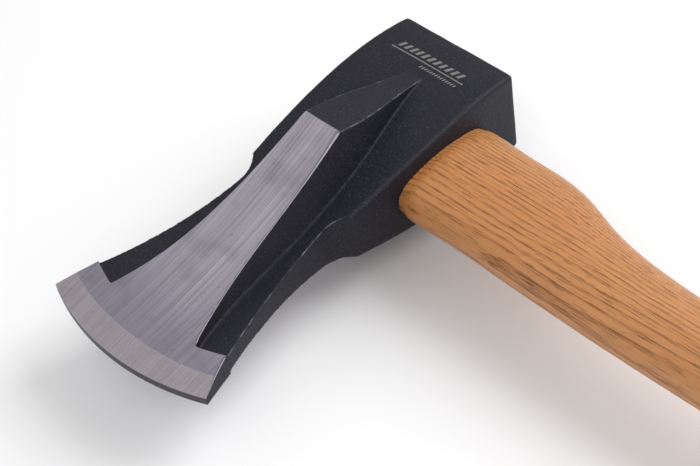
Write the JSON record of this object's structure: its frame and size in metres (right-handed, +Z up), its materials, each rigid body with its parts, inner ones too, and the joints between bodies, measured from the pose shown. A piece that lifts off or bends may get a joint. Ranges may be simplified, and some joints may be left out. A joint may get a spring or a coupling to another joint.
{
  "type": "splitting maul",
  "caption": "Long-handled splitting maul: a ridged wedge-shaped steel head with a flat poll, wedged onto a straight ash handle with a knobbed butt.",
  "frame": {"origin": "centre of the whole maul's box in X and Y, in the plane of its lower crest, on which the head lies", "axes": "+X along the handle from the head to the butt, +Y towards the poll face, +Z up from one cheek to the other, with the maul lying on its side"},
  "size_m": [0.8616, 0.2034, 0.0706],
  "materials": {
    "painted_steel": "matte fine-textured black paint on forged steel, ridge faces, edge band and bevels ground bare",
    "ash": "lacquered ash, grain along the handle",
    "beech": "bare hardwood, end grain up",
    "wedge_steel": "mill-finish steel"
  },
  "bodies": {
    "root": {"head": "painted_steel", "handle": "ash", "eye_wedge": "beech", "steel_wedge_front": "wedge_steel", "steel_wedge_rear": "wedge_steel"}
  },
  "joints": []
}
